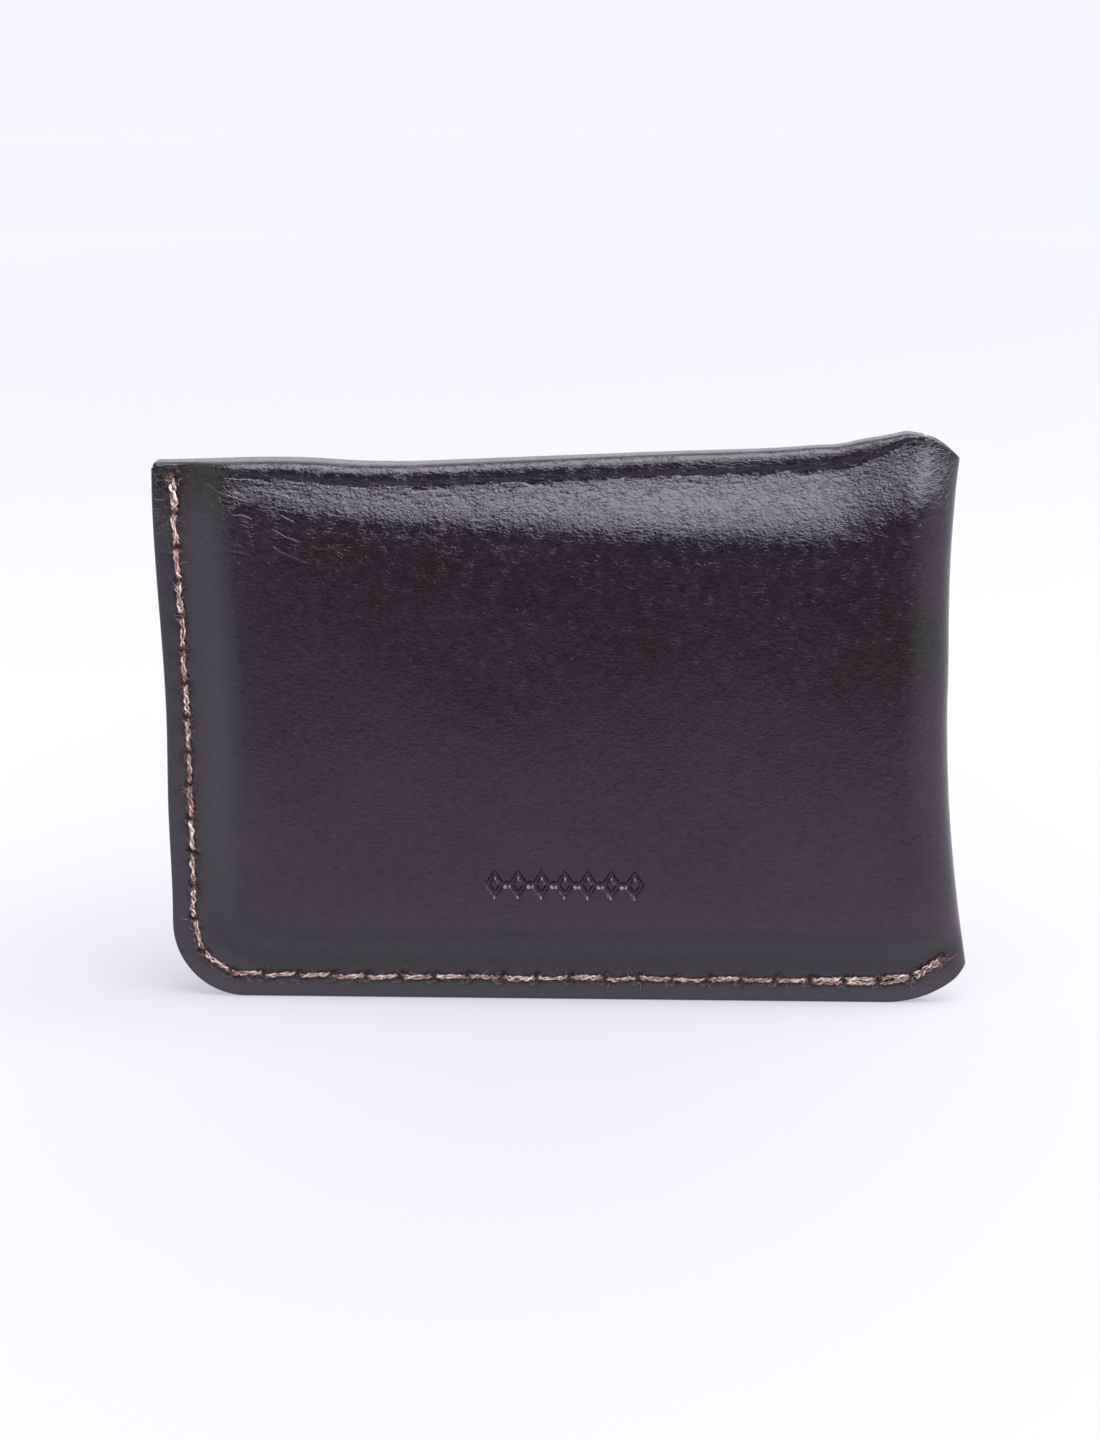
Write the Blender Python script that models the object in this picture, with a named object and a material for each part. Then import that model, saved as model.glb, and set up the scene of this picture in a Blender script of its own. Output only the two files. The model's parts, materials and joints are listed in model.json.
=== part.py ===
"""Business card case at its real size: one leather blank folded into a pocket with a flap.

The blank makes the back panel, a rounded fold down the right-hand side, the front panel, and a flap that
turns over the top. A saddle-stitched seam closes the left side and the bottom, and a four-piece snap holds
the flap to the front panel. The pocket stands full, as it does around a stack of cards.

Frame: +Z up, the back panel faces -Y, the flap closes on the +Y side, and the origin is the middle of the
bottom of the object's box. The functions below work in millimetres, with y = 0 midway through the seam.
"""

import math

import bmesh
import bpy
from mathutils import Matrix, Vector

MM = 0.001

# Leather
LEATHER = 1.4  # thickness of the hide
GAP = 0.3  # between pieces that touch on the real case
SEAM_FACE = LEATHER + GAP / 2  # outer face of each layer where the two are sewn together
BACK_FACE = 6.0  # outer face of the back panel over the cards
FRONT_FACE = 4.9  # outer face of the front panel over the cards

# Outline of the pocket
HALF_WIDTH = 54.3
CORNER_RADIUS = 10.0
FRONT_TOP = 69.6  # the pocket's mouth
FOLD_TOP = 73.4  # the cut edge slopes from here, beside the back crease, down to the pocket's mouth
PANEL_SPLIT = 44.4  # where the side fold starts to turn
FOLD_RADIUS = 6.5  # how far in from the edge the fold turns where the pocket is full
FOLD_STEPS = 8  # on each side of the fold
FOLD_CORNER_START = 43.5  # the bottom corner at the fold is a flatter curve
FOLD_CORNER_RISE = 6.0

# Where the panels rise from the seam to their full depth, as distances from the edge
SIDE_RISE = (3.6, 11.0)
BOTTOM_RISE = (3.6, 10.0)
TOP_FALL = (60.0, 70.0)  # heights between which the back panel closes in to the flap's crease

# Flap, with one crease above each panel and a narrow spine between them
CREASE_Z = 71.3
BACK_CREASE_Y = -1.8
FRONT_CREASE_Y = 6.0
PANEL_END = CREASE_Z - LEATHER / 2 - GAP  # panels end just under the rounded edges of the spine
FLAP_LEFT = -54.0
FLAP_RIGHT = 47.9
FLAP_BOTTOM = 27.0
FLAP_CORNER = 12.0
FLAP_FACE = 9.05  # outer face of the flap where it lies parallel to the front panel
FLAP_BEND = (55.0, 70.0)  # heights between which the flap comes out from the spine to that face

# Seam
STITCH_MARGIN = 3.0
STITCHES = 36
THREAD_RADIUS = 0.32
STRAND_OFFSET = 0.47  # the two strands pass side by side through each slit
STRAND_FACE = SEAM_FACE + THREAD_RADIUS + GAP / 2  # a strand's middle where it lies on the leather
STRAND_BEND = SEAM_FACE + 0.1  # and where it turns into the slit
BEND_STEPS = (0.5, 0.05)  # how far along the seam from the slit's middle those two points are
SLIT_HALF_WIDTH = 0.6
SLIT_HALF_LENGTH = 1.0
SEAM_TOP = 69.0
SEAM_END_X = 51.0

# Snap, on one axis along Y: its radii, and the y of each face
SNAP_X = (FLAP_LEFT + FLAP_RIGHT) / 2
SNAP_Z = 37.0
SNAP_GAP = 0.15
SHANK_RADIUS = 1.5
SHANK_HOLE = 1.9
DISC_RADIUS = 4.6
CAP_RADIUS = 6.2
CAP_TOP = 10.9
ROUND_STEPS = 20

# The origin is midway between the back face and the top of the cap.
SEAM_Y = (BACK_FACE - CAP_TOP) / 2


def smooth(value, low, high):
    """0 at low, 1 at high, with level ends."""
    t = min(1.0, max(0.0, (value - low) / (high - low)))
    return t * t * (3 - 2 * t)


def left_edge(z):
    """The cut edge leans out a little towards the top."""
    return -HALF_WIDTH + 1.5 * (1 - smooth(z, 35, 70))


def fold_edge(z):
    """The side fold reaches furthest where it is flat: at the bottom, and a little at the top."""
    low = 3.2 * (1 - min(1.0, max(0.0, z - FOLD_CORNER_RISE) / 36)) ** 1.7
    high = 1.2 * max(0.0, (z - 55) / 17.5) ** 2
    return HALF_WIDTH - 3.2 + low + high


def fold_corner(x):
    """Height of the bottom cut edge, which curves up to the side fold."""
    share = max(0.0, x - FOLD_CORNER_START) / (HALF_WIDTH - FOLD_CORNER_START)
    return FOLD_CORNER_RISE * (1 - math.sqrt(max(0.0, 1 - share * share)))


def left_corner(distance):
    """Height of the bottom cut edge at a distance from the left edge."""
    inside = max(0.0, CORNER_RADIUS - distance)
    return CORNER_RADIUS - math.sqrt(CORNER_RADIUS**2 - inside**2)


def depths(z, rise):
    """How far the back and front outer faces are from the seam plane, clear of the left seam and the fold."""
    back = SEAM_FACE + (BACK_FACE - SEAM_FACE) * rise
    crease = -BACK_CREASE_Y + LEATHER / 2
    back += (crease - back) * smooth(z, *TOP_FALL)
    return back, SEAM_FACE + (FRONT_FACE - SEAM_FACE) * rise


def panel_y(x, z, side):
    """The y of the outer face, with side -1 on the back and 1 on the front, round to the middle of the fold."""
    rise = smooth(z - fold_corner(x), *BOTTOM_RISE)
    back, front = depths(z, rise)
    fold_width = SEAM_FACE + (FOLD_RADIUS - SEAM_FACE) * rise
    along = (x - (fold_edge(z) - fold_width)) / fold_width
    if along > 0:
        middle, half = (front - back) / 2, (front + back) / 2
        return middle + side * half * math.sqrt(max(0.0, 1 - along * along))
    here = back if side < 0 else front
    return side * (SEAM_FACE + (here - SEAM_FACE) * smooth(x - left_edge(z), *SIDE_RISE))


def flap_y(z):
    """The y of the flap's outer face."""
    crease = FRONT_CREASE_Y + LEATHER / 2
    return FLAP_FACE + (crease - FLAP_FACE) * smooth(z, *FLAP_BEND)


def shares(count):
    """0 to 1 in equal steps."""
    return [i / count for i in range(count + 1)]


def wrap_column(top, low, x_at, side):
    """One column of the wrap's outer face, from the bottom edge up, with rows closer where it bends."""
    column = []
    for level in (0, 3.4, 5, 6.5, 8, 10, 20, 35, 48, 60, 62, 64, 66, 68, 70):
        z = low + level * (top - low) / 70
        column.append(Vector((x_at(z), panel_y(x_at(z), z, side), z)))
    return column


def panel_columns(side, top):
    """Outer face of the back or front panel: columns from the left edge to just short of the side fold."""
    corner = [CORNER_RADIUS * (1 - math.cos(a * math.pi / 2)) for a in shares(6)]
    right = PANEL_SPLIT - GAP
    columns = []
    for c in corner + [11, 20, 40, 60, 80, 93]:
        low = left_corner(c) + fold_corner(c - HALF_WIDTH)
        columns.append(wrap_column(top, low, lambda z, c=c: c + left_edge(z), side))
    columns.append(wrap_column(top, fold_corner(right), lambda z: right, side))
    return columns


def fold_columns():
    """Outer face of the side fold: columns from the back panel round to the front panel."""
    reach = HALF_WIDTH - PANEL_SPLIT
    quarter = [math.sin(a * math.pi / 2) for a in shares(FOLD_STEPS)]
    columns = []
    for i, (side, share) in enumerate([(-1, s) for s in quarter] + [(1, s) for s in quarter[-2::-1]]):
        low = fold_corner(PANEL_SPLIT + reach * share)
        top = FOLD_TOP - (FOLD_TOP - FRONT_TOP) * smooth(i, 0, 2 * FOLD_STEPS)
        under_flap = side < 0 and PANEL_SPLIT + (fold_edge(top) - PANEL_SPLIT) * share < FLAP_RIGHT + 1
        columns.append(
            wrap_column(
                PANEL_END if under_flap else top,
                low,
                lambda z, s=share: PANEL_SPLIT + (fold_edge(z) - PANEL_SPLIT) * s,
                side,
            )
        )
    return columns


def flap_columns():
    """Outer face of the flap, with two rounded corners at the bottom."""
    arc = [FLAP_CORNER * (1 - math.cos(a * math.pi / 2)) for a in shares(5)]
    width = FLAP_RIGHT - FLAP_LEFT
    across = arc + [width * a for a in (0.25, 0.5, 0.75)] + [width - c for c in reversed(arc)]
    columns = []
    for c in across:
        inside = max(0.0, FLAP_CORNER - min(c, width - c))
        low = FLAP_BOTTOM + FLAP_CORNER - math.sqrt(FLAP_CORNER**2 - inside**2)
        heights = [low + (PANEL_END - low) * a for a in (0, 0.25, 0.45, 0.6, 0.7, 0.8, 0.88, 0.95, 1)]
        columns.append([Vector((FLAP_LEFT + c, flap_y(z), z)) for z in heights])
    return columns


def new_material(name, colour, roughness, metallic=0.0):
    material = bpy.data.materials.new(name)
    material.use_nodes = True
    shader = material.node_tree.nodes["Principled BSDF"]
    shader.inputs["Base Color"].default_value = (*colour, 1)
    shader.inputs["Roughness"].default_value = roughness
    shader.inputs["Metallic"].default_value = metallic
    return material


def add(name, bm, material, pivot):
    """Makes a named object from a bmesh in millimetres, hung from the empty that stands at its pivot."""
    mesh = bpy.data.meshes.new(name)
    bm.to_mesh(mesh)
    bm.free()
    mesh.transform(Matrix.Translation(-PIVOTS[pivot]))
    mesh.transform(Matrix.Scale(MM, 4))
    mesh.materials.append(material)
    obj = bpy.data.objects.new(name, mesh)
    obj.parent = bpy.data.objects[pivot]
    bpy.context.scene.collection.objects.link(obj)
    return obj


def inner_face(columns):
    """The grid one leather thickness behind an outer face whose columns run anticlockwise seen from above."""
    inner = []
    for i, column in enumerate(columns):
        before, after = columns[max(0, i - 1)], columns[min(len(columns) - 1, i + 1)]
        behind = []
        for j, point in enumerate(column):
            across = after[j] - before[j]
            up = column[min(len(column) - 1, j + 1)] - column[max(0, j - 1)]
            behind.append(point - across.cross(up).normalized() * LEATHER)
        inner.append(behind)
    return inner


def leather(name, outer, inner, material, pivot="case_frame"):
    """One panel of leather between two matching grids of points."""
    bm = bmesh.new()
    grids = [[[bm.verts.new(p) for p in column] for column in grid] for grid in (outer, inner)]
    for grid, winding in zip(grids, (1, -1)):
        for near, far in zip(grid, grid[1:]):
            for i in range(len(near) - 1):
                bm.faces.new((near[i], far[i], far[i + 1], near[i + 1])[::winding])
    rims = []
    for grid in grids:
        down = [column[0] for column in grid]
        up = [column[-1] for column in reversed(grid)]
        rims.append(down + grid[-1][1:-1] + up + grid[0][-2:0:-1])
    front, back = rims
    for i in range(len(front)):
        j = (i + 1) % len(front)
        bm.faces.new((front[j], front[i], back[i], back[j]))
    panel = add(name, bm, material, pivot)
    panel.data.shade_smooth()
    panel.data.set_sharp_from_angle(angle=math.radians(50))
    return panel


def cut(panel, cutter):
    hole = panel.modifiers.new(cutter.name, "BOOLEAN")
    hole.operation = "DIFFERENCE"
    hole.solver = "EXACT"
    hole.object = cutter


def as_cutter(obj):
    obj.hide_render = True
    obj.display_type = "WIRE"
    return obj


def spine(material):
    """The strip of leather over the top, between the two creases, with both long edges rounded."""
    bm = bmesh.new()
    radius, turn = LEATHER / 2, math.pi / 6
    outline = [
        (FRONT_CREASE_Y + radius * math.sin(i * turn), CREASE_Z + radius * math.cos(i * turn))
        for i in range(7)
    ] + [
        (BACK_CREASE_Y - radius * math.sin(i * turn), CREASE_Z - radius * math.cos(i * turn))
        for i in range(7)
    ]
    end = bm.faces.new([bm.verts.new((FLAP_LEFT, y, z)) for y, z in outline])
    made = bmesh.ops.extrude_face_region(bm, geom=[end])["geom"]
    moved = [g for g in made if isinstance(g, bmesh.types.BMVert)]
    bmesh.ops.translate(bm, verts=moved, vec=(FLAP_RIGHT - FLAP_LEFT, 0, 0))
    bmesh.ops.recalc_face_normals(bm, faces=bm.faces)
    return add("flap_spine", bm, material, "back_crease")


def seam_line():
    """Points along the seam, from the pocket's mouth down the left side and along the bottom to the fold."""
    inner = CORNER_RADIUS - STITCH_MARGIN
    centre_x = left_edge(CORNER_RADIUS) + CORNER_RADIUS
    down = [SEAM_TOP + (CORNER_RADIUS - SEAM_TOP) * a for a in shares(30)]
    points = [(left_edge(z) + STITCH_MARGIN, z) for z in down]
    points += [
        (centre_x - inner * math.cos(a * math.pi / 2), CORNER_RADIUS - inner * math.sin(a * math.pi / 2))
        for a in shares(12)[1:]
    ]
    start = points[-1][0]
    along = [start + (SEAM_END_X - start) * a for a in shares(60)[1:]]
    return points + [(x, STITCH_MARGIN + fold_corner(x)) for x in along]


def stitch_holes():
    """(position, direction along the seam, direction across it) of each slit, in the plane of the seam."""
    line = [Vector((x, 0, z)) for x, z in seam_line()]
    lengths = [(b - a).length for a, b in zip(line, line[1:])]
    pitch = sum(lengths) / STITCHES
    holes = []
    travelled = 0.0
    for a, b, length in zip(line, line[1:], lengths):
        along = (b - a).normalized()
        across = Vector((along.z, 0, -along.x))
        while len(holes) <= STITCHES and len(holes) * pitch <= travelled + length + 1e-6:
            holes.append((a + along * (len(holes) * pitch - travelled), along, across))
        travelled += length
    return holes


def slit_cutter(holes):
    """One prism through both layers for each slit."""
    bm = bmesh.new()
    reach = SEAM_FACE + 1.0
    for centre, along, across in holes:
        rim = []
        for i in range(6):
            turn = i * math.pi / 3
            offset = across * SLIT_HALF_LENGTH * math.cos(turn) + along * SLIT_HALF_WIDTH * math.sin(turn)
            rim.append(bm.verts.new(centre + offset + Vector((0, -reach, 0))))
        face = bm.faces.new(rim)
        made = bmesh.ops.extrude_face_region(bm, geom=[face])["geom"]
        moved = [g for g in made if isinstance(g, bmesh.types.BMVert)]
        bmesh.ops.translate(bm, verts=moved, vec=(0, 2 * reach, 0))
    bmesh.ops.recalc_face_normals(bm, faces=bm.faces)
    return as_cutter(add("slit_cutter", bm, MATERIALS["thread"], "case_frame"))


def through(hole, side, offset):
    """Points of a strand that passes through a slit from one face to the other; side -1 starts at the back."""
    centre, along, across = hole
    steps = (-BEND_STEPS[0], -BEND_STEPS[1], BEND_STEPS[1], BEND_STEPS[0])
    faces = (STRAND_FACE, STRAND_BEND, -STRAND_BEND, -STRAND_FACE)
    inside = centre + across * offset
    return [inside + along * step + Vector((0, side * y, 0)) for step, y in zip(steps, faces)]


def strand(holes, first_side, offset):
    """One strand of the saddle stitch: it changes sides at every slit, so the two strands fill every stitch."""
    points = []
    side = first_side
    for hole in holes[1:]:
        points += through(hole, side, offset)
        side = -side
    # The last slit holds the strand's cut end, tucked between the layers.
    centre, _, across = holes[-1]
    return points[:-2] + [centre + across * offset - Vector((0, side * SEAM_FACE / 4, 0))]


def thread(holes, material):
    """The whole thread as one length: it is sewn from its middle, which passes through the first slit."""
    middle = through(holes[0], -1, 0)
    middle[0] = middle[0] + holes[0][1] * 2 * BEND_STEPS[0]
    middle[1] = middle[1] + holes[0][1] * 2 * BEND_STEPS[1]
    route = strand(holes, -1, STRAND_OFFSET)[::-1] + middle + strand(holes, 1, -STRAND_OFFSET)
    curve = bpy.data.curves.new("seam_thread", "CURVE")
    curve.dimensions = "3D"
    curve.bevel_depth = THREAD_RADIUS * MM
    curve.bevel_resolution = 1
    curve.use_fill_caps = True
    spline = curve.splines.new("POLY")
    spline.points.add(len(route) - 1)
    for point, place in zip(spline.points, route):
        point.co = (*(place * MM), 1)
    curve.materials.append(material)
    obj = bpy.data.objects.new("seam_thread", curve)
    obj.parent = bpy.data.objects["case_frame"]
    bpy.context.scene.collection.objects.link(obj)
    return obj


def turned(name, profile, material, pivot="case_frame"):
    """A round piece about the snap's axis, from a closed profile of (radius, y)."""
    bm = bmesh.new()
    rings = []
    for radius, y in profile:
        steps = 1 if radius == 0 else ROUND_STEPS
        angles = [2 * math.pi * i / steps for i in range(steps)]
        rings.append(
            [
                bm.verts.new((SNAP_X + radius * math.sin(a), y, SNAP_Z + radius * math.cos(a)))
                for a in angles
            ]
        )
    for ring, following in zip(rings, rings[1:] + rings[:1]):
        for i in range(ROUND_STEPS):
            j = (i + 1) % ROUND_STEPS
            corners = [ring[i % len(ring)], ring[j % len(ring)]]
            corners += [following[j % len(following)], following[i % len(following)]]
            distinct = list(dict.fromkeys(corners))
            if len(distinct) > 2:
                bm.faces.new(distinct)
    bmesh.ops.recalc_face_normals(bm, faces=bm.faces)
    piece = add(name, bm, material, pivot)
    piece.data.shade_smooth()
    piece.data.set_sharp_from_angle(angle=math.radians(40))
    return piece


def snap(material):
    """Post and stud grip the front panel, cap and socket grip the flap, and the stud sits in the socket."""
    post_back = FRONT_FACE - LEATHER - SNAP_GAP - 0.4
    stud_base = FRONT_FACE + SNAP_GAP
    stud_top = stud_base + 1.85
    turned(
        "snap_post",
        [
            (0, post_back),
            (DISC_RADIUS, post_back),
            (DISC_RADIUS, post_back + 0.4),
            (SHANK_RADIUS, post_back + 0.4),
            (SHANK_RADIUS, stud_top - 0.65),
            (0, stud_top - 0.65),
        ],
        material,
    )
    turned(
        "snap_stud",
        [
            (1.75, stud_base),
            (DISC_RADIUS, stud_base),
            (DISC_RADIUS, stud_base + 0.35),
            (1.95, stud_base + 0.35),
            (2.15, stud_base + 1.2),
            (2.0, stud_base + 1.65),
            (1.6, stud_top),
            (0, stud_top),
            (0, stud_top - 0.35),
            (1.75, stud_top - 0.35),
        ],
        material,
    )
    socket_base = FLAP_FACE - LEATHER - SNAP_GAP - 0.35
    turned(
        "snap_socket",
        [
            (1.75, socket_base),
            (2.7, socket_base),
            (2.6, stud_base + 0.6),
            (3.5, stud_base + 0.6),
            (3.7, socket_base),
            (5.2, socket_base),
            (5.2, socket_base + 0.35),
            (1.75, socket_base + 0.35),
        ],
        material,
        "front_crease",
    )
    rim = FLAP_FACE + SNAP_GAP
    turned(
        "snap_cap",
        [
            (0, CAP_TOP),
            (2.2, CAP_TOP - 0.1),
            (4.4, CAP_TOP - 0.5),
            (5.7, CAP_TOP - 1.05),
            (CAP_RADIUS, rim + 0.25),
            (CAP_RADIUS, rim),
            (5.6, rim),
            (4.2, CAP_TOP - 0.95),
            (SHANK_RADIUS, CAP_TOP - 0.6),
            (SHANK_RADIUS, socket_base + 0.15),
            (0, socket_base + 0.15),
        ],
        material,
        "front_crease",
    )


def hole_cutter(name, low, high, pivot="case_frame"):
    """A drill through a panel for a shank of the snap."""
    profile = [(0, low), (SHANK_HOLE, low), (SHANK_HOLE, high), (0, high)]
    return as_cutter(turned(name, profile, MATERIALS["snap_metal"], pivot))


def add_pivots():
    """An empty for the case, and one on each crease, which the spine and the flap turn about."""
    parent = None
    place = Vector((0, SEAM_Y, 0))
    at = Vector((0, 0, 0))
    for name, pivot in PIVOTS.items():
        empty = bpy.data.objects.new(name, None)
        empty.parent = parent
        empty.location = (place + pivot - at) * MM
        bpy.context.scene.collection.objects.link(empty)
        parent, place, at = empty, Vector((0, 0, 0)), pivot


PIVOTS = {
    "case_frame": Vector((0, 0, 0)),
    "back_crease": Vector((0, BACK_CREASE_Y, CREASE_Z)),
    "front_crease": Vector((0, FRONT_CREASE_Y, CREASE_Z)),
}

for leftover in list(bpy.data.objects):
    bpy.data.objects.remove(leftover)

MATERIALS = {
    "leather": new_material("leather", (0.035, 0.027, 0.030), 0.38),
    "thread": new_material("thread", (0.42, 0.30, 0.26), 0.85),
    "snap_metal": new_material("snap_metal", (0.42, 0.36, 0.27), 0.3, 1.0),
}

add_pivots()
slits = stitch_holes()
slit_holes = slit_cutter(slits)
back, fold, front = panel_columns(-1, PANEL_END), fold_columns(), panel_columns(1, FRONT_TOP)[::-1]
wrap = back + fold + front
inside = inner_face(wrap)
ends = (0, len(back), len(back) + len(fold), len(wrap))
sewn = [
    leather(name, wrap[low:high], inside[low:high], MATERIALS["leather"])
    for name, low, high in zip(("back_panel", "side_fold", "front_panel"), ends, ends[1:])
]
front_panel = sewn[2]
cover = flap_columns()[::-1]
flap = leather("flap", cover, inner_face(cover), MATERIALS["leather"], "front_crease")
spine(MATERIALS["leather"])
for panel in sewn:
    cut(panel, slit_holes)
cut(front_panel, hole_cutter("post_drill", FRONT_FACE - LEATHER - 1, FRONT_FACE + 1))
cut(flap, hole_cutter("cap_drill", FLAP_FACE - LEATHER - 1, FLAP_FACE + 1, "front_crease"))
thread(slits, MATERIALS["thread"])
snap(MATERIALS["snap_metal"])
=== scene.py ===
"""Looks of the business card case: the leather, the saddle stitch and the snap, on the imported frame.

Lengths in this script are millimetres. World y is the script's y plus SEAM_Y, so y = 0 is midway through
the seam, the back panel is at negative y and the flap closes on the positive side.
"""
import json
import math

import bpy
import numpy as np
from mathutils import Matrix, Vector


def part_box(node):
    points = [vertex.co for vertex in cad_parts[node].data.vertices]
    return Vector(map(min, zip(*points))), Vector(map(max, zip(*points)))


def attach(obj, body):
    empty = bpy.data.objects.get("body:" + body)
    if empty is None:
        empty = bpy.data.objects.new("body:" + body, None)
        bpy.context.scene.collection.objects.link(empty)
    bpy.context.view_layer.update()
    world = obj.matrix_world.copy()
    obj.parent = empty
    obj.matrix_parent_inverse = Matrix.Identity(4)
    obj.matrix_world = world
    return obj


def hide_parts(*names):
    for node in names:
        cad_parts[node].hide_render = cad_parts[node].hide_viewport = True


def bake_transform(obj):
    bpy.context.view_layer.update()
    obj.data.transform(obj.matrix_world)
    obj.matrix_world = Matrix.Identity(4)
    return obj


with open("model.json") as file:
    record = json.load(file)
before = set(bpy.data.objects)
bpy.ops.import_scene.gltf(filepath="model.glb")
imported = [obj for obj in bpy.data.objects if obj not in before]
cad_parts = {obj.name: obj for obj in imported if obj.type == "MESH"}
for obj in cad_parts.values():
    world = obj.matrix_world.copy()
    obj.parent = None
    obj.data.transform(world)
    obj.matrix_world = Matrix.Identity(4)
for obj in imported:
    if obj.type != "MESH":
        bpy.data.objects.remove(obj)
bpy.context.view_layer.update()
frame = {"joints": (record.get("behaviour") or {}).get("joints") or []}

MM = 0.001


def node_box(name):
    """The lowest and highest corners of a CAD node, in millimetres."""
    low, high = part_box(name)
    return np.array(low) / MM, np.array(high) / MM


def joint_at(name):
    """A point on a joint's axis, in millimetres."""
    joint = next(j for j in frame["joints"] if j["name"] == name)
    return np.array(joint["pos_m"]) / MM


# Faces and outline, read from the frame
THREAD_LOW, THREAD_HIGH = node_box("seam_thread")
BACK_LOW = node_box("back_panel")[0]
FOLD_LOW = node_box("side_fold")[0]
FRONT_HIGH = node_box("front_panel")[1]
FLAP_LOW, FLAP_HIGH = node_box("flap")
SPINE_LOW, SPINE_HIGH = node_box("flap_spine")
SEAM_Y = (THREAD_LOW[1] + THREAD_HIGH[1]) / 2
LEATHER = SPINE_HIGH[2] - SPINE_LOW[2]
GAP = 0.3
SEAM_FACE = LEATHER + GAP / 2
BACK_FACE = SEAM_Y - BACK_LOW[1]
FRONT_FACE = FRONT_HIGH[1] - SEAM_Y
FRONT_TOP = FRONT_HIGH[2]
HALF_WIDTH = -BACK_LOW[0]
FOLD_START = FOLD_LOW[0]
FOLD_TOP = 73.4
FOLD_RADIUS = 6.5
FOLD_CORNER_START = 43.5
FOLD_CORNER_RISE = 5.2
CORNER_RADIUS = 10.0

# Creases and flap
CREASE_Z = joint_at("spine_fold")[2]
CREASE_DIP = 1.6
CREASE_RISE_LEFT = 1.85
CREASE_TILT = 0.0445
CREASE_DEPTH = SEAM_Y - joint_at("spine_fold")[1] + LEATHER / 2
FLAP_LEFT = FLAP_LOW[0]
FLAP_RIGHT = FLAP_HIGH[0]
FLAP_BOTTOM = FLAP_LOW[2]
FLAP_TOP = FLAP_HIGH[2]
FLAP_FACE = FLAP_HIGH[1] - SEAM_Y
FLAP_CORNER = 12.0
FRONT_CREASE = joint_at("flap_fold")[1] - SEAM_Y + LEATHER / 2
ROLL_TOP_Y = (FRONT_CREASE - CREASE_DEPTH) / 2

# Seam
STITCH_MARGIN = 3.0
STITCHES = 36
SEAM_TOP = 70.2
SEAM_END_X = 51.0
SEAM_END_RISE = 0.9

# Shape of the skin
EDGE_ROUND = 0.45
SEAM_SLOPE = (3.4, 10.8)
PILLOW_CORNER = 14.0
CROWN = (0.35, 0.0011)
SHOULDER = (4.2, 10.9)
SHOULDER_POWER = 1.9
CREASE_SOFT = 2.0
CREASE_SWING = (-1.5, 0.6)
GROOVE = 0.20
GROOVE_WIDTH = 0.9
ROLL_OVERHANG = 0.05
ROLL_SHAPE = (2.2, 0.08)
FAR_BELOW = 99.0  # a distance below the crease at which it has no effect
FRONT_DISH = 0.12  # how deep the snap's discs sit in the front panel, and in the flap
FLAP_DISH = 0.16

# Where two sheets meet, both of their inner faces lie along one of these directions from the outer faces
CREASE_NORMAL = (0, -1, 0)
SPINE_START_NORMAL = (0, -0.5, 0.86)
ROLL_TOP_NORMAL = (0, 0.55, 0.84)

# Unrolled coordinates at which the front's and the flap's grain starts; the front's carries on the fold's
FRONT_SKIN_START = 125.0
FLAP_SKIN_START = 200.0


def smooth(value, low, high):
    """0 at low, 1 at high, with level ends."""
    t = np.clip((value - low) / (high - low), 0, 1)
    return t * t * (3 - 2 * t)


def bell(value, width):
    """1 at 0, falling away over the width on both sides."""
    return np.exp(-((value / width) ** 2))


def unit(vectors):
    """The vectors at length 1."""
    return vectors / np.linalg.norm(vectors, axis=-1, keepdims=True)


def lengths(line):
    """How far along a line each of its points is."""
    return np.append(0, np.cumsum(np.linalg.norm(np.diff(line, axis=0), axis=1)))


def quarter_round(radius, count):
    """Places across a rounded corner, closer together where it is steep."""
    return radius * (1 - np.cos(np.linspace(0, math.pi / 2, count)))


def hashed(i, j, seed):
    """A number from -1 to 1 for each whole-numbered lattice point."""
    n = (i.astype(np.int64) * 374761393 + j.astype(np.int64) * 668265263 + seed * 974711) & 0x7FFFFFFF
    n = ((n ^ (n >> 13)) * 1274126177) & 0x7FFFFFFF
    n = n ^ (n >> 16)
    return (n & 0xFFFFF) / 0xFFFFF * 2 - 1


def noise(x, y, seed):
    """Smooth noise from -1 to 1 with features about one unit wide."""
    i, j = np.floor(x), np.floor(y)
    a, b = smooth(x - i, 0, 1), smooth(y - j, 0, 1)
    low = hashed(i, j, seed) * (1 - a) + hashed(i + 1, j, seed) * a
    high = hashed(i, j + 1, seed) * (1 - a) + hashed(i + 1, j + 1, seed) * a
    return low * (1 - b) + high * b


def ridges(x, y, seed):
    """Narrow winding creases: 1 along them and 0 away from them."""
    bent = noise(x, y, seed) + 0.4 * noise(x * 2.1, y * 2.1, seed + 1)
    return np.exp(-np.abs(bent) * 9)


# Outline


def left_edge(z):
    """The cut edge leans out a little towards the top."""
    return -HALF_WIDTH + 1.5 * (1 - smooth(z, 35, 70)) + 0.4 * smooth(z, 28, 12)


def fold_edge(z):
    """The side fold reaches furthest where it is flat: at the bottom, and a little at the top."""
    low = 3.2 * (1 - np.clip((z - FOLD_CORNER_RISE) / 36, 0, 1)) ** 1.8
    high = 1.2 * (np.maximum(0, z - 55) / 17.5) ** 2
    waist = 0.25 * bell(z - 47, 14)
    return HALF_WIDTH - 3.2 + low + high + waist


def fold_corner(x):
    """Height of the bottom cut edge, which curves up to the side fold."""
    share = np.clip((x - FOLD_CORNER_START) / (HALF_WIDTH - FOLD_CORNER_START), 0, 1)
    return FOLD_CORNER_RISE * (1 - (1 - share * share) ** 0.75)


def rounding(distance, radius):
    """How far a rounded corner falls away from one side, at a distance from the other."""
    inside = np.clip(radius - distance, 0, radius)
    return radius - np.sqrt(radius**2 - inside**2)


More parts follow.
